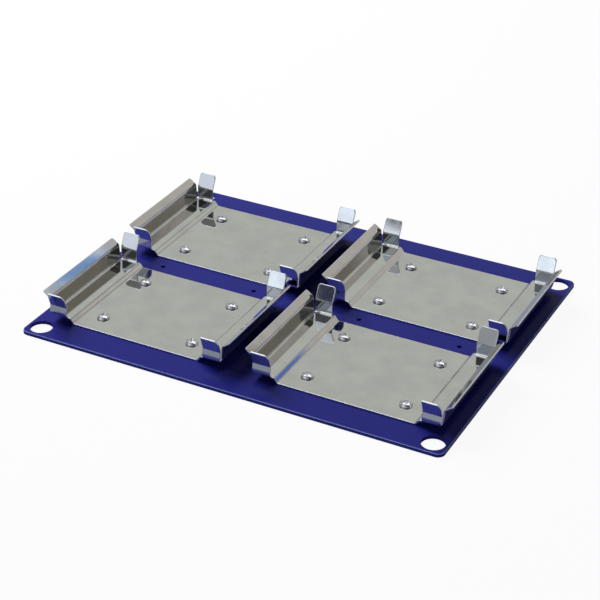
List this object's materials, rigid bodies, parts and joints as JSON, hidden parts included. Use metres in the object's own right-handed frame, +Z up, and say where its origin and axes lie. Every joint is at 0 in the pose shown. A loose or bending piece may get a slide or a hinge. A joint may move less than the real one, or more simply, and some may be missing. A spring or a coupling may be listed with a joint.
{
  "type": "shaker microplate platform",
  "caption": "Flat painted shaker platform carrying folded sheet-metal holders with sprung flaps for microplates.",
  "frame": {"origin": "middle of the base plate's underside", "axes": "+X along the plate's long side, +Y towards the rear tabs of the holders, +Z up"},
  "size_m": [0.303, 0.236, 0.0257],
  "materials": {
    "plate_paint": "gloss",
    "holder_steel": "polished",
    "screw_steel": "bright"
  },
  "bodies": {
    "root": {"base_plate": "plate_paint", "holder_front_left": "holder_steel", "holder_front_right": "holder_steel", "holder_rear_left": "holder_steel", "holder_rear_right": "holder_steel", "holder_screws": "screw_steel"}
  },
  "joints": []
}
